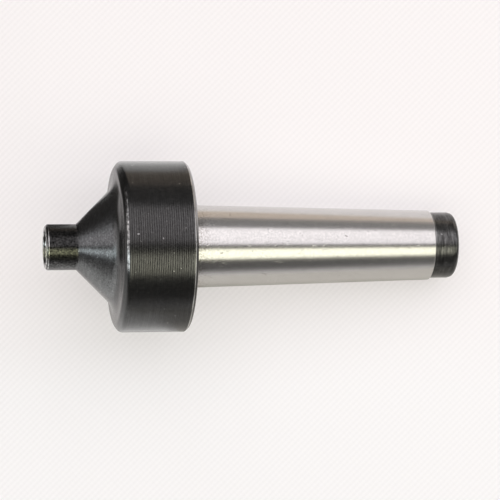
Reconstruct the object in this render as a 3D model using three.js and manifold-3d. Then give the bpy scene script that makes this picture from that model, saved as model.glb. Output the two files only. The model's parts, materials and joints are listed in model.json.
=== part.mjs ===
// A live center: the tool in a lathe's tailstock that carries the end of the work and turns with it.
// A hollow-nosed head runs on two ball bearings about a fixed arbor with a Morse taper 2 shank.
//
// Millimetres, +Z up. The axis of rotation is X, with the nose towards +X. The origin is on the axis,
// in the plane where the Morse taper has its full diameter, which is also the drum's rear face.
// Every "station" below is a place along X.

import * as THREE from "three";
import { mergeVertices } from "three/addons/utils/BufferGeometryUtils.js";
import Module from "manifold-3d";

const wasm = await Module();
wasm.setup();

// Driving dimensions: the arbor.
const TAPER_RADIUS = 9.0;
const TAPER_ON_RADIUS = 0.04995 / 2;
const TAPER_LENGTH = 54.2;
const TAIL_RADIUS = 7.25;
const TAIL_LENGTH = 5.5;
const TAIL_CHAMFER_RADIAL = 0.7;
const TAIL_CHAMFER_AXIAL = 1.2;
const THROUGH_BORE_RADIUS = 3.25;
const BORE_LEAD = 0.35;

// Driving dimensions: the head.
const DRUM_RADIUS = 18.5;
const DRUM_LENGTH = 15.65;
const DRUM_EDGE_AXIAL = 1.0;
const DRUM_EDGE_RADIAL = 1.5;
const DRUM_REAR_CHAMFER = 0.65;
const NOSE_RADIUS = 4.95;
const NOSE_LENGTH = 6.75;
const NOSE_CHAMFER = 0.5;
const CONE_BASE_RADIUS = 13.2;
const CONE_FILLET = 5.5;
const NOSE_SOCKET_RADIUS = 4.0;
const NOSE_SOCKET_DEPTH = 1.3;

// Driving dimensions: the bearings, by their standard boundary sizes.
const REAR = {
  name: "rear",
  bore: 7.5,
  outside: 16.0,
  width: 9.0,
  pitch: 11.75,
  ball: 2.38,
  balls: 9,
  innerLand: 10.25,
  outerLand: 13.25,
  shieldSeat: 14.15,
  shieldThickness: 0.35,
  cageBack: 3.45,
  cageFingers: 1.2,
};
const FRONT = {
  name: "front",
  bore: 5.0,
  outside: 9.5,
  width: 5.0,
  pitch: 7.25,
  ball: 1.19,
  balls: 10,
  innerLand: 6.5,
  outerLand: 8.0,
  shieldSeat: 8.5,
  shieldThickness: 0.22,
  cageBack: 1.95,
  cageFingers: 0.6,
};

// Driving dimensions: what locates the bearings.
const CIRCLIP_LIP = 0.5;
const HEAD_CIRCLIP_THICKNESS = 1.2;
const HEAD_GROOVE_RADIUS = 16.85;
const WAVE_THICKNESS = 0.3;
const WAVE_HEIGHT = 0.2;
const WAVES = 3;
const SPACER_LENGTH = 0.6;
const SPINDLE_CIRCLIP_THICKNESS = 1.0;
const SPINDLE_GROOVE_RADIUS = 4.75;
const SPINDLE_CAVITY_RADIUS = 7.8;

// Gaps, and how finely round things are cut.
const FIT_GAP = 0.05;
const RUNNING_GAP = 0.3;
const BALL_GAP = 0.05;
const AXIAL_GAP = 0.05;
const TURNED_SIDES = 48;
const RACE_SIDES = 40;

// Stations worked out from the dimensions above.
const HEAD_GROOVE_REAR = CIRCLIP_LIP;
const HEAD_GROOVE_FRONT = CIRCLIP_LIP + HEAD_CIRCLIP_THICKNESS + 2 * AXIAL_GAP;
const WAVE_MIDDLE = HEAD_GROOVE_FRONT + AXIAL_GAP + WAVE_HEIGHT + WAVE_THICKNESS / 2;
const REAR_BEARING_REAR = WAVE_MIDDLE + WAVE_THICKNESS / 2 + WAVE_HEIGHT + AXIAL_GAP;
const REAR_BEARING_FRONT = REAR_BEARING_REAR + REAR.width;
const FRONT_BEARING_REAR = REAR_BEARING_FRONT + SPACER_LENGTH + 2 * AXIAL_GAP;
const FRONT_BEARING_FRONT = FRONT_BEARING_REAR + FRONT.width;
const SPINDLE_GROOVE_REAR = FRONT_BEARING_FRONT + AXIAL_GAP;
const SPINDLE_GROOVE_FRONT = SPINDLE_GROOVE_REAR + SPINDLE_CIRCLIP_THICKNESS + 2 * AXIAL_GAP;
const SPINDLE_END = SPINDLE_GROOVE_FRONT + 0.7;
const CAVITY_END = SPINDLE_END + RUNNING_GAP + 0.2;
const NOSE_END = DRUM_LENGTH + (CONE_BASE_RADIUS - NOSE_RADIUS) + NOSE_LENGTH;
const CONE_SMALL_END = NOSE_END - NOSE_LENGTH;
const TAPER_END = -TAPER_LENGTH;
const TAIL_END = TAPER_END - TAIL_LENGTH;

// Materials.
const material = (color, roughness, metalness = 1) =>
  new THREE.MeshStandardMaterial({ color, roughness, metalness });
const BLACK_OXIDE = material(0x26262a, 0.38);
const GROUND_STEEL = material(0xc9c6c2, 0.28);
const RACE_STEEL = material(0xb4b6ba, 0.2);
const BALL_STEEL = material(0xdadde2, 0.08);
const PRESSED_STEEL = material(0x9a9ca0, 0.4);
const SPRING_STEEL = material(0x3c3d42, 0.42);

// Points of an arc about a centre as [station, radius] pairs, from one angle to another in degrees.
function arc([station, radius], size, from, to, steps) {
  return Array.from({ length: steps + 1 }, (_, i) => {
    const angle = THREE.MathUtils.degToRad(from + ((to - from) * i) / steps);
    return [station + size * Math.cos(angle), radius + size * Math.sin(angle)];
  });
}

// A closed outline of [station, radius] pairs, turned about X.
function turnedGeometry(outline, sides) {
  const points = outline.map(([station, radius]) => new THREE.Vector2(radius, station));
  points.push(points[0].clone());
  return new THREE.LatheGeometry(points, sides).rotateZ(-Math.PI / 2);
}

function turned(name, outline, finish, sides = RACE_SIDES) {
  return namedMesh(name, turnedGeometry(outline, sides), finish);
}

function namedMesh(name, geometry, finish) {
  const mesh = new THREE.Mesh(geometry, finish);
  mesh.name = name;
  return mesh;
}

// A plain ring of rectangular section.
const ringOutline = (rear, front, inside, outside) => [
  [rear, inside],
  [rear, outside],
  [front, outside],
  [front, inside],
];

function solidOf(geometry) {
  const bare = geometry.clone();
  bare.deleteAttribute("normal");
  bare.deleteAttribute("uv");
  const merged = mergeVertices(bare, 1e-4);
  return new wasm.Manifold(
    new wasm.Mesh({
      numProp: 3,
      vertProperties: merged.attributes.position.array,
      triVerts: new Uint32Array(merged.index.array),
    }),
  );
}

function geometryOf(solid) {
  const mesh = solid.getMesh();
  const geometry = new THREE.BufferGeometry();
  geometry.setAttribute("position", new THREE.BufferAttribute(mesh.vertProperties, 3));
  geometry.setIndex(new THREE.BufferAttribute(mesh.triVerts, 1));
  geometry.computeVertexNormals();
  return geometry;
}

// A disc or peg along X, centred on a station, off the axis by a radius at an angle.
function peg(radius, length, station, offAxis, angle, sides) {
  return solidOf(
    new THREE.CylinderGeometry(radius, radius, length, sides)
      .rotateZ(Math.PI / 2)
      .translate(station, offAxis * Math.cos(angle), offAxis * Math.sin(angle)),
  );
}

// The arbor: Morse taper shank, reduced tail and stepped spindle in one piece, bored right through.
function makeArbor() {
  const taperEndRadius = TAPER_RADIUS - TAPER_ON_RADIUS * TAPER_LENGTH;
  const outline = [
    [TAIL_END, THROUGH_BORE_RADIUS + BORE_LEAD],
    [TAIL_END, TAIL_RADIUS - TAIL_CHAMFER_RADIAL],
    [TAIL_END + TAIL_CHAMFER_AXIAL / 3, TAIL_RADIUS - TAIL_CHAMFER_RADIAL / 3],
    [TAIL_END + TAIL_CHAMFER_AXIAL, TAIL_RADIUS],
    [TAPER_END, TAIL_RADIUS],
    [TAPER_END, taperEndRadius],
    [0, TAPER_RADIUS],
    [REAR_BEARING_REAR - AXIAL_GAP, TAPER_RADIUS],
    [REAR_BEARING_REAR - AXIAL_GAP, REAR.bore],
    [REAR_BEARING_FRONT, REAR.bore],
    [REAR_BEARING_FRONT, FRONT.bore],
    [SPINDLE_GROOVE_REAR, FRONT.bore],
    [SPINDLE_GROOVE_REAR, SPINDLE_GROOVE_RADIUS],
    [SPINDLE_GROOVE_FRONT, SPINDLE_GROOVE_RADIUS],
    [SPINDLE_GROOVE_FRONT, FRONT.bore],
    [SPINDLE_END - BORE_LEAD, FRONT.bore],
    [SPINDLE_END, FRONT.bore - BORE_LEAD],
    [SPINDLE_END, THROUGH_BORE_RADIUS],
    [TAIL_END + BORE_LEAD, THROUGH_BORE_RADIUS],
  ];
  return turned("arbor", outline, GROUND_STEEL, TURNED_SIDES);
}

// The head: drum, cone and nose in one piece, with pockets for both bearings behind a hollow nose.
function makeHead() {
  const filletReach = CONE_FILLET * Math.tan(Math.PI / 8);
  const filletCentre = [DRUM_LENGTH + CONE_FILLET, CONE_BASE_RADIUS + filletReach];
  const outline = [
    [0, REAR.outside + DRUM_REAR_CHAMFER],
    [0, DRUM_RADIUS - DRUM_REAR_CHAMFER],
    [DRUM_REAR_CHAMFER, DRUM_RADIUS],
    [DRUM_LENGTH - DRUM_EDGE_AXIAL, DRUM_RADIUS],
    [DRUM_LENGTH, DRUM_RADIUS - DRUM_EDGE_RADIAL],
    ...arc(filletCentre, CONE_FILLET, 180, 225, 5),
    [CONE_SMALL_END, NOSE_RADIUS],
    [NOSE_END - NOSE_CHAMFER, NOSE_RADIUS],
    [NOSE_END, NOSE_RADIUS - NOSE_CHAMFER],
    [NOSE_END, NOSE_SOCKET_RADIUS],
    [NOSE_END - NOSE_SOCKET_DEPTH, THROUGH_BORE_RADIUS],
    [CAVITY_END, THROUGH_BORE_RADIUS],
    [CAVITY_END, SPINDLE_CAVITY_RADIUS - 1.4],
    [SPINDLE_GROOVE_FRONT + AXIAL_GAP, SPINDLE_CAVITY_RADIUS],
    [FRONT_BEARING_FRONT + AXIAL_GAP, SPINDLE_CAVITY_RADIUS],
    [FRONT_BEARING_FRONT + AXIAL_GAP, FRONT.outside],
    [FRONT_BEARING_REAR - AXIAL_GAP, FRONT.outside],
    [FRONT_BEARING_REAR - AXIAL_GAP, REAR.outerLand + RUNNING_GAP],
    [REAR_BEARING_FRONT + AXIAL_GAP, REAR.outerLand + RUNNING_GAP],
    [REAR_BEARING_FRONT + AXIAL_GAP, REAR.outside],
    [HEAD_GROOVE_FRONT, REAR.outside],
    [HEAD_GROOVE_FRONT, HEAD_GROOVE_RADIUS],
    [HEAD_GROOVE_REAR, HEAD_GROOVE_RADIUS],
    [HEAD_GROOVE_REAR, REAR.outside + DRUM_REAR_CHAMFER / 2],
  ];
  return turned("head", outline, BLACK_OXIDE, TURNED_SIDES);
}

// A race's ball groove, as an arc about the ball's centre cut off at the race's land.
function groove(bearing, middle, land, side) {
  const size = bearing.ball + BALL_GAP;
  const half = THREE.MathUtils.radToDeg(Math.acos(Math.abs(land - bearing.pitch) / size));
  const centre = side * 90;
  return arc([middle, bearing.pitch], size, centre + side * half, centre - side * half, 4);
}

function makeInnerRace(bearing, middle) {
  const rear = middle - bearing.width / 2;
  const front = middle + bearing.width / 2;
  const outline = [
    [front, bearing.bore + FIT_GAP],
    [rear, bearing.bore + FIT_GAP],
    [rear, bearing.innerLand],
    ...groove(bearing, middle, bearing.innerLand, -1),
    [front, bearing.innerLand],
  ];
  return turned(`${bearing.name}_inner_race`, outline, RACE_STEEL);
}

// The outer race has a step near each face, where a shield is pressed in.
function makeOuterRace(bearing, middle) {
  const rear = middle - bearing.width / 2;
  const front = middle + bearing.width / 2;
  const step = 2 * bearing.shieldThickness + AXIAL_GAP;
  const outline = [
    [rear, bearing.shieldSeat],
    [rear, bearing.outside - FIT_GAP],
    [front, bearing.outside - FIT_GAP],
    [front, bearing.shieldSeat],
    [front - step, bearing.shieldSeat],
    [front - step, bearing.outerLand],
    ...groove(bearing, middle, bearing.outerLand, 1).reverse(),
    [rear + step, bearing.outerLand],
    [rear + step, bearing.shieldSeat],
  ];
  return turned(`${bearing.name}_outer_race`, outline, RACE_STEEL);
}

// A shield: a thin steel disc held by the outer race, just clear of the inner one.
function makeShield(bearing, middle, side, place) {
  const seat = middle + side * (bearing.width / 2 - 2 * bearing.shieldThickness);
  const face = seat + side * bearing.shieldThickness;
  const outline = ringOutline(
    Math.min(seat, face),
    Math.max(seat, face),
    bearing.innerLand + RUNNING_GAP,
    bearing.shieldSeat - FIT_GAP,
  );
  return turned(`${bearing.name}_shield_${place}`, outline, PRESSED_STEEL);
}

// The angles of a bearing's balls round the axis.
const ballAngles = (bearing) =>
  Array.from({ length: bearing.balls }, (_, i) => (i * 2 * Math.PI) / bearing.balls);

const ballCentre = (bearing, middle, angle) =>
  new THREE.Vector3(middle, bearing.pitch * Math.cos(angle), bearing.pitch * Math.sin(angle));

function makeBalls(bearing, middle) {
  return ballAngles(bearing).map((angle, i) => {
    const ball = namedMesh(
      `${bearing.name}_ball_${i + 1}`,
      new THREE.SphereGeometry(bearing.ball, 10, 7),
      BALL_STEEL,
    );
    ball.position.copy(ballCentre(bearing, middle, angle));
    return ball;
  });
}

// A crown cage: a ring behind the balls with fingers that reach forward between them.
function makeCage(bearing, middle) {
  const outline = ringOutline(
    middle - bearing.cageBack,
    middle + bearing.cageFingers,
    bearing.innerLand + RUNNING_GAP,
    bearing.outerLand - RUNNING_GAP,
  );
  const pocket = new THREE.SphereGeometry(bearing.ball + RUNNING_GAP, 12, 8);
  const solid = ballAngles(bearing).reduce((ring, angle) => {
    const { x, y, z } = ballCentre(bearing, middle, angle);
    return ring.subtract(solidOf(pocket.clone().translate(x, y, z)));
  }, solidOf(turnedGeometry(outline, 3 * bearing.balls)));
  return namedMesh(`${bearing.name}_cage`, geometryOf(solid), PRESSED_STEEL);
}

function makeBearing(bearing, rear) {
  const middle = rear + bearing.width / 2;
  return [
    makeInnerRace(bearing, middle),
    makeOuterRace(bearing, middle),
    makeShield(bearing, middle, -1, "tail_side"),
    makeShield(bearing, middle, 1, "nose_side"),
    makeCage(bearing, middle),
    ...makeBalls(bearing, middle),
  ];
}

// A circlip: a ring that is narrow beside its gap, with an eye for the pliers at each end.
function makeCirclip(clip) {
  const middle = clip.rear + clip.thickness / 2;
  const ring = peg(clip.outside, clip.thickness, middle, clip.outsideShift, 0, RACE_SIDES)
    .subtract(peg(clip.inside, 2 * clip.thickness, middle, clip.insideShift, 0, RACE_SIDES));
  const gap = solidOf(
    new THREE.BoxGeometry(2 * clip.thickness, clip.outside, 2 * clip.eyeAt * Math.sin(clip.eyeAngle))
      .translate(middle, clip.inside + clip.outside / 2 - clip.eyeReach, 0),
  );
  const open = ring.subtract(gap);
  const solid = [-1, 1].reduce((made, side) => {
    const angle = side * clip.eyeAngle;
    const eye = peg(clip.eyeReach, clip.thickness, middle, clip.eyeAt, angle, 16);
    const hole = peg(clip.eyeHole, 2 * clip.thickness, middle, clip.eyeAt, angle, 12);
    return made.add(eye).subtract(hole);
  }, open);
  return namedMesh(clip.name, geometryOf(solid), SPRING_STEEL);
}

const HEAD_CIRCLIP = {
  name: "head_circlip",
  rear: HEAD_GROOVE_REAR + AXIAL_GAP,
  thickness: HEAD_CIRCLIP_THICKNESS,
  outside: HEAD_GROOVE_RADIUS - 2 * FIT_GAP,
  outsideShift: 0,
  inside: 14.2,
  insideShift: 0.7,
  eyeAt: 14.3,
  eyeAngle: 0.2,
  eyeReach: 2.1,
  eyeHole: 1.1,
};

const SPINDLE_CIRCLIP = {
  name: "spindle_circlip",
  rear: SPINDLE_GROOVE_REAR + AXIAL_GAP,
  thickness: SPINDLE_CIRCLIP_THICKNESS,
  outside: 6.2,
  outsideShift: -0.3,
  inside: SPINDLE_GROOVE_RADIUS + 2 * FIT_GAP,
  insideShift: 0,
  eyeAt: 6.2,
  eyeAngle: 0.28,
  eyeReach: 1.15,
  eyeHole: 0.55,
};

// A wave washer: a flat ring whose height rises and falls round the axis.
function makeWaveWasher() {
  const inside = REAR.shieldSeat - 0.5;
  const outside = REAR.outside - 2 * FIT_GAP - 0.2;
  const outline = ringOutline(-WAVE_THICKNESS / 2, WAVE_THICKNESS / 2, inside, outside);
  const geometry = turnedGeometry(outline, RACE_SIDES);
  const places = geometry.attributes.position;
  for (let i = 0; i < places.count; i += 1) {
    const angle = Math.atan2(places.getZ(i), places.getY(i));
    const height = WAVE_HEIGHT * Math.cos(WAVES * angle);
    places.setX(i, places.getX(i) + WAVE_MIDDLE + height);
  }
  return namedMesh("wave_washer", geometry, SPRING_STEEL);
}

function makeSpacer() {
  const outline = ringOutline(
    REAR_BEARING_FRONT + AXIAL_GAP,
    REAR_BEARING_FRONT + AXIAL_GAP + SPACER_LENGTH,
    FRONT.bore + FIT_GAP,
    FRONT.innerLand - 0.15,
  );
  return turned("bearing_spacer", outline, PRESSED_STEEL);
}

const liveCenter = new THREE.Group();
liveCenter.add(
  makeArbor(),
  makeHead(),
  ...makeBearing(REAR, REAR_BEARING_REAR),
  ...makeBearing(FRONT, FRONT_BEARING_REAR),
  makeSpacer(),
  makeWaveWasher(),
  makeCirclip(HEAD_CIRCLIP),
  makeCirclip(SPINDLE_CIRCLIP),
);

export default liveCenter;
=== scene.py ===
"""A live center on a pale table: black-oxide head, ground Morse taper shank, and its two ball bearings.

Lengths are in metres. X runs along the axis from the tail to the nose, with 0 at the drum's rear face, and
+Y is the side nearest the picture's lower edge."""

import json
import math
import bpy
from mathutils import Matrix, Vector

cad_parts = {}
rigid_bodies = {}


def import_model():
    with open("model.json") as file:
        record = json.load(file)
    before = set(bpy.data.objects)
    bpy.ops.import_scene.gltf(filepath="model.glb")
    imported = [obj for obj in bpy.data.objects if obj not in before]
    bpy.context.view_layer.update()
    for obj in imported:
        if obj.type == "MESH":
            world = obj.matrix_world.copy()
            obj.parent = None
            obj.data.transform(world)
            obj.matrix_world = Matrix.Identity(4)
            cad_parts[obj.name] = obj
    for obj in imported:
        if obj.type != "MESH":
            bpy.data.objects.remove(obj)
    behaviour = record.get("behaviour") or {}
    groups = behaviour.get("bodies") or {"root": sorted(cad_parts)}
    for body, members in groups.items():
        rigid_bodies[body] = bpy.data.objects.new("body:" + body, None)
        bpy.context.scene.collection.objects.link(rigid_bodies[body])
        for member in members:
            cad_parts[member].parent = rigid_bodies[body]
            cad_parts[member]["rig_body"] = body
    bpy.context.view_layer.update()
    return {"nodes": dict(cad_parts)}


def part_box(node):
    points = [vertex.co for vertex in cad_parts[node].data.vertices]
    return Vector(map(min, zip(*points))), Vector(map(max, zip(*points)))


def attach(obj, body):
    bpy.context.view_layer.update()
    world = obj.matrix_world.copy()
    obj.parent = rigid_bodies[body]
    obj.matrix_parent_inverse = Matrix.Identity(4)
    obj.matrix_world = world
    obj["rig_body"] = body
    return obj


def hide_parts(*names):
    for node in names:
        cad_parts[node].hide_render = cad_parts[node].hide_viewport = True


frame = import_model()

from types import SimpleNamespace

import bmesh
import bpy
from mathutils import Matrix, Vector, noise

NODES = frame["nodes"]
MM = 0.001

# How finely round things are turned, and how far their sharp corners are eased.
SHOWN_SIDES = 240
HIDDEN_SIDES = 128
BALL_SIDES = 40
BALL_RINGS = 20
SHOWN_EASE = 0.12 * MM
HIDDEN_EASE = 0.15 * MM
PRESSED_EASE = 0.06 * MM
SHARP_CORNER = math.radians(20)
ARC_PIECES = 3
WIDE_ARC_PIECES = 9
ARC_SHARE_OF_EDGE = 0.45

# The head's stations: its rear chamfer, the front of the drum and the cone. The drum's front edge, between
# two stations, is rounded more than the rest.
REAR_CHAMFER = 0.65 * MM
DRUM_FRONT = 14.5 * MM
FRONT_EDGE = (14.0 * MM, 17.0 * MM)
FRONT_EDGE_EASE = 0.75 * MM
CONE_STARTS = 16.2 * MM
CONE_ENDS = 23.9 * MM

# The fine turning marks cut into the outside of the head.
MARK_PITCH = 0.473 * MM
MARK_DEPTH = 0.006 * MM
MARK_STEPS = 4

# The arbor's tail end is chamfered. Steps in its outline above this radius are on its outside.
TAIL_CHAMFER = 1.2 * MM
OUTSIDE_RADIUS = 5.0 * MM

# The stations of the edges where the black oxide is rubbed off, with a painted highlight along part of the
# drum's front edge, and how far the painted highlight beside the taper reaches.
FRONT_EDGE_WEAR_AND_HIGHLIGHT = (14.66 * MM, 15.10 * MM)
NOSE_WEAR = (30.12 * MM, 30.56 * MM)
COLLAR_HIGHLIGHT = 0.45 * MM

# How much of the light black oxide gives back, and what is added on the cone, on the tail, in scratches, at
# specks and where the steel is bare or a highlight is painted on its edges.
COAT_LEVEL = 0.048
CONE_LEVEL = 0.06
TAIL_LEVEL = 0.026
SCRATCH_LEVEL = 0.05
SPECK_LEVEL = 0.20
BARE_AND_HIGHLIGHT_LEVEL = 0.48

# The cloth's weave, the strengths of its threads in the two diagonal directions, and how far it reaches.
WEAVE_PITCH = 1.03 * MM
THREADS = ((1.0, 0.019), (-1.0, 0.006))
FLOOR_REACH = 1.6

# Cards lie just over the cloth. The lit panels hang over the table, and where each begins and ends across
# it goes with that height. The windows stand far off in front of the nose.
CARD_HEIGHT = 0.8 * MM
PANEL_HEIGHT = 0.75
FAR_PANEL = (-1.46 * PANEL_HEIGHT, -0.085 * PANEL_HEIGHT)
FAR_PANEL_END = (-3.4 * PANEL_HEIGHT, -1.46 * PANEL_HEIGHT)
NEAR_PANEL = (0.150 * PANEL_HEIGHT, 0.785 * PANEL_HEIGHT)
NEAR_PANEL_END = (0.25 * PANEL_HEIGHT, 0.74 * PANEL_HEIGHT)
WASH_HEIGHT = 1.02 * PANEL_HEIGHT
WINDOW_DISTANCE = 2.5
WINDOW_HEIGHTS = (0.0, 0.35)

# The camera looks straight down on the table, turned a little, at a point near the middle of the object.
CAMERA_DISTANCE = 0.4758
CAMERA_LENS = 157.7
CAMERA_ROLL = math.radians(-0.353)
AIM_ALONG = 14.0 * MM
AIM_ACROSS = 0.77 * MM


# ---------------------------------------------------------------- turned outlines

def outline_of(node):
    """The closed outline of a turned CAD node as (station, radius) pairs, from its edges above the axis."""
    mesh = NODES[node].data
    place = {}
    for vertex in mesh.vertices:
        if abs(vertex.co.y) < 0.002 * MM and vertex.co.z > 0:
            place[vertex.index] = (round(vertex.co.x, 6), round(vertex.co.z, 6))
    links = {}
    for edge in mesh.edges:
        a, b = (place.get(i) for i in edge.vertices)
        if a and b and a != b:
            links.setdefault(a, set()).add(b)
            links.setdefault(b, set()).add(a)
    start = min(links)
    outline = [start]
    here, before = start, None
    while True:
        onward = sorted(p for p in links[here] if p != before)
        following = onward[0] if before is None else onward[-1]
        if following == start:
            break
        outline.append(following)
        here, before = following, here
    return [Vector(p) for p in outline]


def edges_of(outline):
    """The outline's edges, as pairs of its points."""
    return zip(outline, outline[1:] + outline[:1])


def tail_step_station():
    """Where the ground taper ends and the blackened tail begins: the outer step nearest the tail."""
    return min(
        a.x
        for a, b in edges_of(outline_of("arbor"))
        if abs(a.x - b.x) < 0.001 * MM and min(a.y, b.y) > OUTSIDE_RADIUS
    )


def counter_clockwise(outline):
    """The outline, turned round if it runs clockwise."""
    doubled_area = sum(a.x * b.y - b.x * a.y for a, b in edges_of(outline))
    return outline if doubled_area >= 0 else outline[::-1]


def eased(outline, size, wide=None, wide_size=0.0):
    """The outline with each sharp corner rounded by a small arc.

    Corners between the two stations in `wide` are rounded by `wide_size` instead."""
    rounded = []
    count = len(outline)
    for i, corner in enumerate(outline):
        back = outline[i - 1] - corner
        ahead = outline[(i + 1) % count] - corner
        if math.pi - back.angle(ahead) < SHARP_CORNER:
            rounded.append(corner)
            continue
        is_wide = wide and wide[0] < corner.x < wide[1]
        shorter = min(back.length, ahead.length)
        reach = min(wide_size if is_wide else size, ARC_SHARE_OF_EDGE * shorter)
        first = corner + back.normalized() * reach
        last = corner + ahead.normalized() * reach
        pieces = WIDE_ARC_PIECES if is_wide else ARC_PIECES
        for step in range(pieces + 1):
            t = step / pieces
            rounded.append(first.lerp(corner, t).lerp(corner.lerp(last, t), t))
    return rounded


def marked(outline, pitch, depth):
    """The outline with fine turning marks cut into its outside: not into its bores or flat faces."""
    result = []
    for start, end in edges_of(counter_clockwise(outline)):
        result.append(start)
        length = (end - start).length
        along = (end - start).normalized()
        outward = Vector((along.y, -along.x))
        if outward.y < 0.5 or length < 2 * pitch:
            continue
        pieces = int(length / pitch * MARK_STEPS)
        for step in range(1, pieces):
            place = start.lerp(end, step / pieces)
            turns = place.x / pitch
            uneven = 0.55 + 0.45 * noise.noise(Vector((0.37 * turns, 0.9 * start.x / MM, 0.5)))
            cut = depth * uneven * (1 - math.cos(2 * math.pi * turns)) / 2
            result.append(place - outward * cut)
    return result


def linked(name, mesh):
    """A new object for a mesh, in the scene."""
    piece = bpy.data.objects.new(name, mesh)
    bpy.context.scene.collection.objects.link(piece)
    return piece


def turned(name, outline, sides):
    """A closed ring of that outline about X, with its faces out."""
    outline = counter_clockwise(outline)
    count = len(outline)
    places = []
    for side in range(sides):
        angle = 2 * math.pi * side / sides
        cosine, sine = math.cos(angle), math.sin(angle)
        places += [(p.x, p.y * cosine, p.y * sine) for p in outline]
    faces = []
    for side in range(sides):
        here, there = side * count, (side + 1) % sides * count
        for i in range(count):
            j = (i + 1) % count
            faces.append((here + i, here + j, there + j, there + i))
    mesh = bpy.data.meshes.new(name)
    mesh.from_pydata(places, [], faces)
    mesh.validate()
    mesh.shade_smooth()
    return linked(name, mesh)


# ---------------------------------------------------------------- a helper for node trees

class Nodes:
    """Builds a node tree from short calls. Their values may be numbers or other nodes' sockets."""

    def __init__(self, tree):
        self.tree = tree

    def link(self, source, target):
        """Joins an output socket to an input socket."""
        self.tree.links.new(source, target)

    def add(self, kind, **settings):
        """A new node of that kind."""
        node = self.tree.nodes.new(kind)
        for key, value in settings.items():
            setattr(node, key, value)
        return node

    def put(self, socket, value):
        """Links a socket into another one, or sets the other to a plain value."""
        if hasattr(value, "is_output"):
            self.link(value, socket)
        else:
            socket.default_value = value

    def math(self, operation, *values):
        """One step of arithmetic."""
        node = self.add("ShaderNodeMath", operation=operation)
        for socket, value in zip(node.inputs, values):
            self.put(socket, value)
        return node.outputs[0]

    def total(self, first, *others):
        """The sum of all the values."""
        for value in others:
            first = self.math("ADD", first, value)
        return first

    def product(self, first, *others):
        """All the values multiplied together."""
        for value in others:
            first = self.math("MULTIPLY", first, value)
        return first

    def length(self, one, two):
        """The length of a vector with those two parts."""
        squares = self.total(self.math("POWER", one, 2.0), self.math("POWER", two, 2.0))
        return self.math("POWER", squares, 0.5)

    def dot(self, vector, axis):
        """How far a vector reaches along an axis."""
        node = self.add("ShaderNodeVectorMath", operation="DOT_PRODUCT")
        self.link(vector, node.inputs[0])
        node.inputs[1].default_value = axis
        return node.outputs["Value"]

    def remap(self, value, low, high, to_low, to_high):
        """A straight ramp from one pair of values to another, level outside it."""
        node = self.add("ShaderNodeMapRange")
        self.link(value, node.inputs["Value"])
        for key, number in (("From Min", low), ("From Max", high), ("To Min", to_low), ("To Max", to_high)):
            node.inputs[key].default_value = number
        return node.outputs[0]

    def between(self, value, low, high, blur):
        """1 between two values and 0 outside them, with soft ends."""
        rise = self.remap(value, low - blur, low + blur, 0.0, 1.0)
        fall = self.remap(value, high - blur, high + blur, 1.0, 0.0)
        return self.product(rise, fall)

    def about_one(self, field, amount):
        """1, give or take an amount, as a noise varies about its middle."""
        return self.remap(field, 0.3, 0.7, 1.0 - amount, 1.0 + amount)

    def object_vector(self):
        """The place on the object, in its own axes."""
        return self.add("ShaderNodeTexCoord").outputs["Object"]

    def place(self):
        """The place on the object as three numbers: the station, and the two across the axis."""
        split = self.add("ShaderNodeSeparateXYZ")
        self.link(self.object_vector(), split.inputs[0])
        return split.outputs

    def noise(self, scale, detail=4.0, roughness=0.55, vector=None):
        """A noise over the object's own coordinates, or over another vector."""
        node = self.add("ShaderNodeTexNoise")
        self.link(self.object_vector() if vector is None else vector, node.inputs["Vector"])
        node.inputs["Scale"].default_value = scale
        node.inputs["Detail"].default_value = detail
        node.inputs["Roughness"].default_value = roughness
        return node.outputs["Fac"]

    def ring_noise(self, per_mm, around, detail=3.0, roughness=0.55):
        """A noise drawn out into rings round the axis: so fine along it, and that share as fine round it."""
        along = per_mm / MM
        stretched = self.add("ShaderNodeVectorMath", operation="MULTIPLY")
        self.link(self.object_vector(), stretched.inputs[0])
        stretched.inputs[1].default_value = (along, along * around, along * around)
        return self.noise(1.0, detail, roughness, vector=stretched.outputs[0])

    def hairs(self, scale, width):
        """Hairline scratches: thin curls where a noise crosses its middle, kept only in some places."""
        off_middle = self.math("ABSOLUTE", self.math("SUBTRACT", self.noise(scale, detail=1.0), 0.5))
        line = self.remap(off_middle, 0.0, width, 1.0, 0.0)
        kept = self.remap(self.noise(0.7 * scale, detail=2.0), 0.56, 0.62, 0.0, 1.0)
        return self.product(line, kept)

    def mix_colour(self, factor, one, two):
        """A blend of two colours: the first at 0, the second at 1."""
        node = self.add("ShaderNodeMix", data_type="RGBA")
        self.put(node.inputs["Factor"], factor)
        for key, value in ((6, one), (7, two)):
            self.put(node.inputs[key], (*value, 1.0) if isinstance(value, tuple) else value)
        return node.outputs[2]

    def scale_colour(self, colour, factor):
        """A colour made darker or lighter by a factor."""
        node = self.add("ShaderNodeVectorMath", operation="SCALE")
        self.put(node.inputs[0], colour)
        self.link(factor, node.inputs["Scale"])
        return node.outputs[0]


class Surface(Nodes):
    """A material's node tree, round its one shader."""

    def __init__(self, name):
        self.material = bpy.data.materials.new(name)
        self.material.use_nodes = True
        super().__init__(self.material.node_tree)
        self.shader = self.tree.nodes["Principled BSDF"]

    def set(self, key, value):
        """Links or sets one of the shader's inputs."""
        self.put(self.shader.inputs[key], value)

    def bump(self, *layers):
        """Gives the shader one normal from several (height, strength, distance) layers."""
        normal = None
        for height, strength, distance in layers:
            node = self.add("ShaderNodeBump")
            node.inputs["Strength"].default_value = strength
            node.inputs["Distance"].default_value = distance
            self.link(height, node.inputs["Height"])
            if normal:
                self.link(normal, node.inputs["Normal"])
            normal = node.outputs["Normal"]
        self.set("Normal", normal)


# ---------------------------------------------------------------- black oxide

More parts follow.
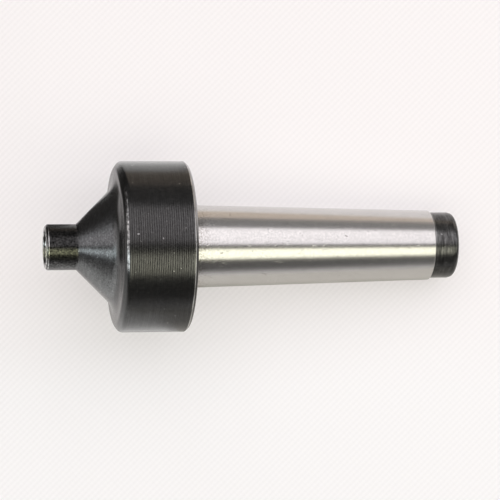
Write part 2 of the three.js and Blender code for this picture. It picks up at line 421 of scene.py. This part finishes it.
def oxide_zones(n):
    """Where a point is, and masks for the parts of the head and the tail."""
    station, across, upward = n.place()
    return SimpleNamespace(
        station=station,
        across=across,
        radius=n.length(across, upward),
        drum=n.between(station, REAR_CHAMFER + 0.1 * MM, DRUM_FRONT, 0.15 * MM),
        cone=n.between(station, CONE_STARTS, CONE_ENDS, 0.5 * MM),
        nose=n.remap(station, CONE_ENDS - 0.3 * MM, CONE_ENDS + 0.3 * MM, 0.0, 1.0),
        tail=n.remap(station, TAIL_STEP, TAIL_STEP + 1.0 * MM, 1.0, 0.0),
    )


def oxide_fields(n):
    """The noises that the black oxide's colour, gloss and bump are made from."""
    return SimpleNamespace(
        mottle=n.noise(1500.0, detail=5.0, roughness=0.65),
        patches=n.noise(260.0, detail=3.0),
        grit=n.noise(2600.0, detail=2.0, roughness=0.6),
        rings=n.ring_noise(2.2, around=0.02),
        fine_rings=n.ring_noise(6.0, around=0.03),
        dashes=n.ring_noise(2.1, around=0.5, roughness=0.6),
        streaks=n.ring_noise(3.2, around=0.12, detail=4.0, roughness=0.65),
    )


def oxide_unevenness(n, zone, field):
    """Fine changes of shade all over: grit, mottling and rings, and rubbed streaks on the tail."""
    grit_amount = n.total(0.12, n.product(zone.cone, 0.24), n.product(zone.nose, 0.95))
    tail_streaks = n.remap(field.streaks, 0.35, 0.65, -0.6, 0.85)
    return n.product(
        n.total(1.0, n.product(grit_amount, n.remap(field.grit, 0.3, 0.7, -1.0, 1.0))),
        n.about_one(field.mottle, 0.18),
        n.about_one(field.rings, 0.12),
        n.about_one(field.fine_rings, 0.14),
        n.total(1.0, n.product(zone.tail, tail_streaks)),
    )


def ring_lines_with_painted_shade(n, zone, field):
    """The tool's rings on the drum as lighter and darker lines, broken into dashes: the rings are real, and
    their strength is painted shade.

    They fade towards the drum's two sides, and are stronger towards +Y, following where the lit bands are
    reflected."""
    wander = n.remap(field.patches, 0.3, 0.7, -0.9, 0.9)
    phase = n.total(n.product(zone.station, 2 * math.pi / MARK_PITCH), wander)
    # Painted shade: the lines are strongest where the drum reflects the lit bands, and weaker on both sides
    # and towards -Y.
    painted_light_side = n.between(zone.across, -9.5 * MM, 6.0 * MM, 1.5 * MM)
    strength = n.product(
        zone.drum,
        n.remap(field.dashes, 0.35, 0.65, 0.25, 1.15),
        n.remap(painted_light_side, 0.0, 1.0, 0.14, 0.9),
        n.remap(zone.across, -1.5 * MM, 1.5 * MM, 0.7, 1.1),
    )
    return n.product(n.math("SINE", phase), strength)


def oxide_painted_shade(n, zone, field):
    """Painted light and shade from side to side: the drum's rings, a painted lighter near side of the drum,
    a painted darker near side of the tail, and painted shade on the far side of the nose with painted light
    on its near side."""
    # Painted light and shade by side: a lighter near side of the drum, a darker near side of the tail, and a
    # nose that is darker on the far side and lighter on the near side.
    drum_painted_light = n.product(zone.drum, n.remap(zone.across, 1.0 * MM, 2.5 * MM, 0.0, 0.16))
    tail_side = n.product(zone.tail, n.remap(zone.across, 1.5 * MM, 4.0 * MM, 0.0, -0.3))
    nose_painted_shade = n.product(zone.nose, n.remap(zone.across, -0.5 * MM, 0.8 * MM, 0.5, -0.25))
    shading = n.total(ring_lines_with_painted_shade(n, zone, field), drum_painted_light, tail_side, 1.0)
    return n.product(shading, n.math("SUBTRACT", 1.0, nose_painted_shade))


def front_edge_wear_and_highlight(n, zone, field):
    """The drum's front edge: rubbed in beads along one stretch, and more lightly along two others. These
    stretches lie where the edge shows its highlight, so they are partly wear and partly painted highlight.
    """
    beads = n.remap(field.mottle, 0.42, 0.56, 0.0, 1.0)
    # Partly wear, partly painted highlight: the rubbed stretches follow where the edge shows its highlight.
    rubbed = n.total(
        n.product(n.between(zone.across, -12.0 * MM, 5.0 * MM, 1.0 * MM), beads, 0.50),
        n.product(n.between(zone.across, -8.0 * MM, 0.5 * MM, 0.8 * MM), 0.16),
        n.product(n.between(zone.across, 0.5 * MM, 4.8 * MM, 0.5 * MM), 0.26),
    )
    return n.product(n.between(zone.station, *FRONT_EDGE_WEAR_AND_HIGHLIGHT, 0.06 * MM), rubbed)


def rear_edge_highlight_and_wear(n, zone, field):
    """The drum's rear chamfer, with a painted highlight on the far side, and its outer edge, rubbed in
    patches all round.
    """
    # The chamfer's far side is a painted highlight; the edge's patches all round are wear.
    chamfer = n.product(
        n.between(zone.station, -0.1 * MM, REAR_CHAMFER - 0.2 * MM, 0.05 * MM),
        n.remap(zone.radius, REAR_CORNER - 0.15 * MM, REAR_CORNER, 0.0, 0.6),
        n.remap(zone.across, -6.0 * MM, -1.0 * MM, 1.0, 0.0),
    )
    edge = n.product(
        n.between(zone.station, REAR_CHAMFER - 0.12 * MM, REAR_CHAMFER + 0.12 * MM, 0.05 * MM),
        n.remap(zone.radius, REAR_CORNER, REAR_CORNER + 0.2 * MM, 0.0, 1.0),
        n.remap(field.patches, 0.4, 0.6, 0.5, 1.0),
    )
    return n.total(chamfer, edge)


def nose_wear_and_collar_highlight(n, zone, field):
    """The nose's two end edges, worn in dashes, and a painted highlight on the far side of the tail next to
    the taper.
    """
    edges = [n.between(zone.station, edge - 0.07 * MM, edge + 0.07 * MM, 0.05 * MM) for edge in NOSE_WEAR]
    nose = n.product(n.total(*edges), n.remap(field.dashes, 0.35, 0.6, 0.2, 1.3))
    # A painted highlight on the far side of the tail beside the taper.
    collar = n.product(
        n.between(zone.station, TAIL_STEP - COLLAR_HIGHLIGHT, TAIL_STEP, 0.05 * MM),
        n.remap(zone.across, -2.0 * MM, 0.5 * MM, 0.3, 0.0),
    )
    return n.total(nose, collar)


def oxide_tint(n, zone, field):
    """Nearly neutral: warm and cool in patches, cool on the cone, and a painted olive reflection on the near
    side of the nose.
    """
    tint = n.mix_colour(field.patches, (1.0, 0.985, 0.96), (0.97, 0.985, 1.0))
    tint = n.mix_colour(zone.cone, tint, (0.965, 0.99, 1.0))
    # A painted olive reflection on the near side of the nose.
    painted_olive_reflection = n.product(zone.nose, n.between(zone.across, 0.2 * MM, 2.4 * MM, 0.5 * MM))
    return n.mix_colour(painted_olive_reflection, tint, (0.98, 1.0, 0.78))


def black_oxide():
    """Turned steel with a black-oxide coat: dark and reflecting, mottled, with fine rings from the tool.

    The coat is thin over steel, so it is built as a metal of very low reflectance. The cone is worn by the
    work it has carried and reflects more, and bare steel shows where the edges are rubbed. Painted
    highlights lie along parts of the edges, and painted light and shade change the coat from side to side."""
    n = Surface("black_oxide")
    zone = oxide_zones(n)
    field = oxide_fields(n)
    coat = n.total(COAT_LEVEL, n.product(zone.cone, CONE_LEVEL), n.product(zone.tail, TAIL_LEVEL))
    # Bare steel from wear, together with painted highlights along parts of the edges.
    bare_and_highlights = n.total(
        front_edge_wear_and_highlight(n, zone, field),
        rear_edge_highlight_and_wear(n, zone, field),
        nose_wear_and_collar_highlight(n, zone, field),
    )
    specks = n.remap(n.noise(1400.0, detail=1.0), 0.74, 0.80, 0.0, 1.0)
    level = n.total(
        n.product(coat, oxide_unevenness(n, zone, field), oxide_painted_shade(n, zone, field)),
        n.product(n.hairs(700.0, 0.012), SCRATCH_LEVEL),
        n.product(specks, SPECK_LEVEL),
        n.product(bare_and_highlights, BARE_AND_HIGHLIGHT_LEVEL),
    )
    n.set("Base Color", n.scale_colour(oxide_tint(n, zone, field), level))
    n.set("Metallic", 0.92)
    n.set("IOR", 1.5)
    n.set("Sheen Weight", 0.08)
    n.set("Sheen Roughness", 0.3)
    dull = n.remap(field.mottle, 0.3, 0.7, 0.21, 0.26)
    n.set("Roughness", n.math("SUBTRACT", dull, n.product(zone.cone, 0.03)))
    n.bump(
        (field.rings, 0.35, 0.003 * MM),
        (field.fine_rings, 0.4, 0.003 * MM),
        (field.mottle, 0.3, 0.005 * MM),
    )
    return n.material


# ---------------------------------------------------------------- the other materials

def ground_steel():
    """Cylindrically ground bright steel: a fine grain, small pits, and hairline scratches from handling.

    Just behind the head it is darker, in brown patches."""
    n = Surface("ground_steel")
    station = n.place()[0]
    stain = n.noise(260.0)
    grain = n.noise(2600.0, detail=3.0, roughness=0.7)
    pits = n.remap(n.noise(1100.0, detail=2.0), 0.68, 0.73, 0.0, 0.5)
    # Darker in brown patches just behind the head.
    darker_behind_head = n.product(
        n.remap(station, -5.0 * MM, -0.5 * MM, 0.0, 1.0),
        n.remap(grain, 0.45, 0.6, 0.0, 0.75),
        n.remap(stain, 0.4, 0.6, 0.2, 1.0),
    )
    colour = n.mix_colour(stain, (0.62, 0.61, 0.60), (0.69, 0.68, 0.67))
    colour = n.mix_colour(n.remap(grain, 0.35, 0.65, 0.0, 0.22), colour, (0.25, 0.25, 0.25))
    colour = n.mix_colour(pits, colour, (0.22, 0.21, 0.19))
    colour = n.mix_colour(darker_behind_head, colour, (0.20, 0.17, 0.12))
    n.set("Base Color", colour)
    n.set("Metallic", 1.0)
    n.set("Roughness", 0.265)
    n.set("Anisotropic", 0.7)
    n.set("Anisotropic Rotation", 0.25)
    n.set("Tangent", n.add("ShaderNodeTangent", direction_type="RADIAL", axis="X").outputs[0])
    n.bump((grain, 1.0, 0.005 * MM), (n.hairs(600.0, 0.016), 1.0, 0.008 * MM))
    return n.material


def plain_steel(name, colour, roughness, ring_strength=0.3):
    """Turned or pressed steel for the bearings and rings."""
    n = Surface(name)
    mottle = n.noise(900.0)
    darker = tuple(0.82 * c for c in colour)
    n.set("Base Color", n.mix_colour(mottle, darker, colour))
    n.set("Metallic", 1.0)
    n.set("Roughness", n.remap(mottle, 0.3, 0.7, roughness * 0.8, roughness * 1.2))
    n.bump((n.ring_noise(6.0, around=0.02), ring_strength, 0.002 * MM))
    return n.material


def matte(name, colour, glow=0.0):
    """Plain card, which may glow."""
    n = Surface(name)
    n.set("Base Color", (*colour, 1.0))
    n.set("Roughness", 0.9)
    n.set("Specular IOR Level", 0.2)
    n.set("Emission Color", (1.0, 1.0, 1.0, 1.0))
    n.set("Emission Strength", glow)
    return n.material


def cloth():
    """The pale table cloth: a fine diagonal weave.

    It glows a little, and more further off, so shadows on it stay light. The glow is pinker on the far side
    of the object, and more neutral on the near side."""
    n = Surface("cloth")
    along, across = n.place()[:2]
    threads = []
    for slant, strength in THREADS:
        diagonal = n.total(along, n.product(across, slant))
        angle = n.product(diagonal, 2 * math.pi / (WEAVE_PITCH * math.sqrt(2)))
        threads.append(n.product(n.math("SINE", angle), strength))
    tooth = n.remap(n.noise(900.0, detail=3.0), 0.0, 1.0, -0.012, 0.012)
    shade = n.total(*threads, tooth, 1.0)
    nearness = n.remap(across, 8.0 * MM, 32.0 * MM, 0.0, 1.0)
    glow = n.remap(n.length(along, across), 0.25, 1.2, 0.50, 0.74)
    n.set("Base Color", n.scale_colour((0.41, 0.403, 0.422), shade))
    n.set("Roughness", 0.9)
    n.set("Specular IOR Level", 0.2)
    n.set("Emission Color", n.mix_colour(nearness, (1.0, 0.955, 0.93), (1.02, 1.012, 0.992)))
    n.set("Emission Strength", n.product(shade, glow))
    return n.material


TAIL_STEP = tail_step_station()
REAR_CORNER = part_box("head")[1].z - REAR_CHAMFER
BLACK = black_oxide()
GROUND = ground_steel()
RACE = plain_steel("bearing_steel", (0.55, 0.555, 0.56), 0.22)
BALL = plain_steel("ball_steel", (0.66, 0.67, 0.69), 0.06, ring_strength=0.05)
PRESSED = plain_steel("pressed_steel", (0.42, 0.425, 0.43), 0.36)
SPRING = plain_steel("spring_steel", (0.06, 0.06, 0.065), 0.4)


# ---------------------------------------------------------------- the pieces

def settle(piece, node, body, slot, *materials):
    """Gives a piece its materials and the body it rides on, and hides the CAD node it stands for."""
    for material in materials:
        piece.data.materials.append(material)
    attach(piece, body)
    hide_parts(node)


def make_head():
    """The head, turned again with a rounder front edge and its turning marks."""
    outline = eased(outline_of("head"), SHOWN_EASE, wide=FRONT_EDGE, wide_size=FRONT_EDGE_EASE)
    piece = turned("turned_head", marked(outline, MARK_PITCH, MARK_DEPTH), SHOWN_SIDES)
    settle(piece, "head", "head", "black_oxide_steel", BLACK)


def make_arbor():
    """The arbor, ground bright up to the step and blackened behind it."""
    piece = turned("ground_arbor", eased(outline_of("arbor"), SHOWN_EASE), SHOWN_SIDES)
    settle(piece, "arbor", "arbor", "ground_steel", GROUND, BLACK)
    for face in piece.data.polygons:
        if face.center.x < TAIL_STEP:
            face.material_index = 1


def turned_ring(node, body, slot, material):
    """A race, shield or spacer, turned again from its CAD node's outline."""
    outline = eased(outline_of(node), HIDDEN_EASE)
    settle(turned(f"fine_{node}", outline, HIDDEN_SIDES), node, body, slot, material)


def make_turned_rings():
    """The bearings' races and shields, and the spacer between them."""
    for bearing in ("rear", "front"):
        turned_ring(f"{bearing}_inner_race", "arbor", "bearing_steel", RACE)
        turned_ring(f"{bearing}_outer_race", "head", "bearing_steel", RACE)
        for side in ("tail_side", "nose_side"):
            turned_ring(f"{bearing}_shield_{side}", "head", "pressed_steel", PRESSED)
    turned_ring("bearing_spacer", "arbor", "pressed_steel", PRESSED)


def ball_mesh(name, middle, radius):
    """A sphere: rings of points between two poles, with a fan of faces round each pole."""
    places = [middle + Vector((0, 0, radius)), middle - Vector((0, 0, radius))]
    for ring in range(1, BALL_RINGS):
        slope = math.pi * ring / BALL_RINGS
        for side in range(BALL_SIDES):
            angle = 2 * math.pi * side / BALL_SIDES
            flat = math.sin(slope)
            direction = Vector((flat * math.cos(angle), flat * math.sin(angle), math.cos(slope)))
            places.append(middle + direction * radius)
    upper_pole, lower_pole, first_ring = 0, 1, 2
    last_ring = first_ring + (BALL_RINGS - 2) * BALL_SIDES
    faces = []
    for side in range(BALL_SIDES):
        after = (side + 1) % BALL_SIDES
        faces.append((upper_pole, first_ring + side, first_ring + after))
        for here in range(first_ring, last_ring, BALL_SIDES):
            below = here + BALL_SIDES
            faces.append((here + side, below + side, below + after, here + after))
        faces.append((lower_pole, last_ring + after, last_ring + side))
    mesh = bpy.data.meshes.new(name)
    mesh.from_pydata(places, [], faces)
    mesh.shade_smooth()
    return mesh


def make_balls():
    """True spheres in place of the faceted CAD balls."""
    for node in NODES:
        if "_ball_" not in node:
            continue
        low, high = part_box(node)
        mesh = ball_mesh(f"fine_{node}", (low + high) / 2, min(high - low) / 2)
        settle(linked(mesh.name, mesh), node, NODES[node]["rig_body"], "ball_steel", BALL)


def softened(node, slot, material):
    """A copy of a CAD node with its flat faces joined up, its edges broken and its curves smooth."""
    source = NODES[node]
    mesh = source.data.copy()
    mesh.name = f"fine_{node}"
    mesh.materials.clear()
    shape = bmesh.new()
    shape.from_mesh(mesh)
    bmesh.ops.dissolve_limit(shape, angle_limit=math.radians(1.5), verts=shape.verts, edges=shape.edges)
    sharp = [edge for edge in shape.edges if edge.calc_face_angle(0.0) > math.radians(35)]
    bmesh.ops.bevel(
        shape, geom=sharp, offset=PRESSED_EASE, segments=2, profile=0.5, affect="EDGES", clamp_overlap=True
    )
    bmesh.ops.triangulate(shape, faces=shape.faces)
    shape.to_mesh(mesh)
    shape.free()
    mesh.shade_smooth()
    mesh.set_sharp_from_angle(angle=math.radians(32))
    piece = linked(mesh.name, mesh)
    piece.matrix_world = source.matrix_world.copy()
    settle(piece, node, source["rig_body"], slot, material)


def make_pressed_pieces():
    """The ball cages, the circlips and the wave washer."""
    for bearing in ("rear", "front"):
        softened(f"{bearing}_cage", "pressed_steel", PRESSED)
    for node in ("head_circlip", "spindle_circlip", "wave_washer"):
        softened(node, "spring_steel", SPRING)


make_head()
make_arbor()
make_turned_rings()
make_balls()
make_pressed_pieces()


# ---------------------------------------------------------------- how the object lies

def resting_tilt():
    """The axis's tilt when the object lies on the drum's rear edge and the end of its tail."""
    head_low, head_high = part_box("head")
    tail = outline_of("arbor")
    tail_end = min(p.x for p in tail)
    tail_radius = max(p.y for p in tail if p.x < tail_end + 2 * TAIL_CHAMFER)
    rise = head_high.z - tail_radius
    run = (head_low.x + REAR_CHAMFER) - (tail_end + TAIL_CHAMFER)
    return math.atan2(rise, run)


TILT = resting_tilt()
CONTACT = Vector((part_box("head")[0].x + REAR_CHAMFER, 0, -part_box("head")[1].z))
UP = Vector((math.sin(TILT), 0, math.cos(TILT)))
TAILWARD = Vector((-math.cos(TILT), 0, math.sin(TILT)))
NEARWARD = Vector((0, 1, 0))


def studio(along, across, height):
    """A point from its place in the studio: towards the tail, towards +Y, and above the table."""
    return CONTACT + TAILWARD * along + NEARWARD * across + UP * height


def aimed(direction, upward):
    """A rotation whose -Z looks along a direction, with Y upward."""
    back = -direction.normalized()
    right = upward.cross(back).normalized()
    return Matrix((right, back.cross(right), back)).transposed().to_4x4()


# ---------------------------------------------------------------- table and cards

def sheet(name, corners, height, material):
    """A flat piece of scenery through corners given as (along, across), at a height over the table."""
    mesh = bpy.data.meshes.new(name)
    mesh.from_pydata([(*corner, 0.0) for corner in corners], [], [tuple(range(len(corners)))])
    mesh.materials.append(material)
    piece = linked(name, mesh)
    axes = Matrix((TAILWARD, NEARWARD, -UP)).transposed().to_4x4()
    piece.matrix_world = Matrix.Translation(studio(0, 0, height)) @ axes
    return piece


def card(name, corners, material):
    """A card lying beside the object, out of the picture, that only reflections see: corners in mm."""
    piece = sheet(name, [(along * MM, across * MM) for along, across in corners], CARD_HEIGHT, material)
    piece.visible_camera = False
    piece.visible_diffuse = False
    piece.visible_shadow = False


def make_table():
    """A pale cloth, and cards that shape what the steel reflects on each side; the grey card is painted
    shadow.
    """
    reach = FLOOR_REACH
    sheet("floor", [(-reach, reach), (reach, reach), (reach, -reach), (-reach, -reach)], 0.0, cloth())
    tan = matte("tan_card", (0.66, 0.58, 0.50))
    grey = matte("painted_shadow_card", (0.67, 0.66, 0.64))
    dark = matte("dark_card", (0.04, 0.038, 0.036))
    bright = matte("bright_card", (0.5, 0.5, 0.5), glow=0.85)
    card(
        "tan_card",
        [(-30, -62), (8, -62), (8, -44), (1500, -44), (1500, -1500), (-30, -1500)],
        tan,
    )
    card("far_bright_card", [(-30, -24), (-30, -62), (5, -62), (5, -24)], bright)
    card(
        "near_bright_card",
        [(-220, 60), (-30, 26), (0, 26), (0, 60), (12, 120), (12, 450), (-220, 450)],
        bright,
    )
    # Painted shadow: a grey card under and beside the shank, standing in for the cloth's shade there as the
    # steel reflects it.
    card("painted_shadow_card", [(2, 8), (2, 60), (14, 120), (14, 400), (300, 400), (300, 8)], grey)
    card(
        "dark_card",
        [(-22, -12), (-36, -1500), (-1500, -1500), (-1500, -650), (-160, -50), (-90, -5), (-55, -22)],
        dark,
    )


# ---------------------------------------------------------------- lights, room and camera

def area_light(name, width, height, radiance, colour, middle, turn):
    """A rectangular light out of the camera's sight, with that radiance over its face."""
    lamp = bpy.data.lights.new(name, "AREA")
    lamp.shape = "RECTANGLE"
    lamp.size, lamp.size_y = width, height
    lamp.energy = radiance * math.pi * width * height
    lamp.color = colour
    light = linked(name, lamp)
    light.matrix_world = Matrix.Translation(middle) @ turn
    light.visible_camera = False
    return light


def panel(name, along, across, height, radiance, colour, use):
    """A lit panel facing down over the table, between two places along and two across.

    Its use is "shine", to be seen in the steel, or "wash", to light matte things."""
    length, width = along[1] - along[0], across[1] - across[0]
    middle = studio(sum(along) / 2, sum(across) / 2, height)
    light = area_light(name, length, width, radiance, colour, middle, aimed(-UP, NEARWARD))
    light.visible_diffuse = use == "wash"
    light.visible_glossy = use == "shine"


def window(name, across, radiance, colour):
    """A low bright window, far off in front of the nose, that only reflections see."""
    low, high = WINDOW_HEIGHTS
    middle = studio(-WINDOW_DISTANCE, sum(across) / 2, (low + high) / 2)
    turn = aimed(TAILWARD, UP)
    light = area_light(name, across[1] - across[0], high - low, radiance, colour, middle, turn)
    light.visible_diffuse = False


def make_lights():
    """Two long panels overhead, parallel to the axis, with a gap between them, and two windows."""
    h = PANEL_HEIGHT
    panel("far_panel", (-6.0, 1.6), FAR_PANEL, h, 1.28, (1.0, 0.955, 0.98), "shine")
    panel("near_panel", (-0.6, 1.6), NEAR_PANEL, h, 1.92, (1.0, 0.985, 0.80), "shine")
    panel("near_panel_end", (-6.0, -0.6), NEAR_PANEL_END, h, 3.2, (0.93, 1.0, 1.02), "shine")
    panel("far_panel_end", (-6.0, -1.5), FAR_PANEL_END, h, 1.0, (0.97, 0.97, 1.0), "shine")
    panel("far_wash", (-0.4, 1.6), FAR_PANEL, WASH_HEIGHT, 2.2, (1.0, 0.955, 0.97), "wash")
    panel("near_wash", (-0.4, 1.6), NEAR_PANEL, WASH_HEIGHT, 1.9, (1.0, 0.97, 0.82), "wash")
    window("far_window", (-0.75, 0.0), 1.3, (1.0, 0.93, 0.93))
    window("near_window", (0.0, 0.45), 2.8, (0.90, 1.0, 1.02))


def make_room():
    """The room round the panels: plain and pale to the camera.

    Reflections see it dim, with a paler wall low on the near side and a faint one on the far side."""
    world = bpy.data.worlds.new("room")
    bpy.context.scene.world = world
    world.use_nodes = True
    n = Nodes(world.node_tree)
    n.tree.nodes.clear()
    direction = n.add("ShaderNodeTexCoord").outputs["Generated"]
    height = n.dot(direction, UP)
    nearness = n.dot(direction, NEARWARD)
    near_wall = n.product(n.remap(height, 0.06, 0.30, 0.55, 0.0), n.remap(nearness, 0.2, 0.6, 0.0, 1.0))
    far_wall = n.remap(nearness, -0.6, -0.1, 0.17, 0.0)
    seen = n.add("ShaderNodeBackground")
    seen.inputs["Color"].default_value = (0.93, 0.915, 0.91, 1.0)
    reflected = n.add("ShaderNodeBackground")
    reflected.inputs["Color"].default_value = (1.0, 0.97, 0.96, 1.0)
    n.link(n.total(near_wall, far_wall, 0.10), reflected.inputs["Strength"])
    mix = n.add("ShaderNodeMixShader")
    n.link(n.add("ShaderNodeLightPath").outputs["Is Camera Ray"], mix.inputs[0])
    n.link(reflected.outputs[0], mix.inputs[1])
    n.link(seen.outputs[0], mix.inputs[2])
    n.link(mix.outputs[0], n.add("ShaderNodeOutputWorld").inputs[0])


def make_camera():
    """The camera, with the tail to the right of the picture and the near side at its lower edge."""
    data = bpy.data.cameras.new("camera")
    data.lens = CAMERA_LENS
    data.sensor_width = 36.0
    data.clip_end = 20.0
    camera = linked("camera", data)
    right = TAILWARD * math.cos(CAMERA_ROLL) - NEARWARD * math.sin(CAMERA_ROLL)
    down = TAILWARD * math.sin(CAMERA_ROLL) + NEARWARD * math.cos(CAMERA_ROLL)
    place = UP * CAMERA_DISTANCE + right * AIM_ALONG + down * AIM_ACROSS
    camera.matrix_world = Matrix.Translation(place) @ aimed(-UP, -down)
    bpy.context.scene.camera = camera


make_table()
make_lights()
make_room()
make_camera()

bpy.context.scene.view_settings.view_transform = "Standard"
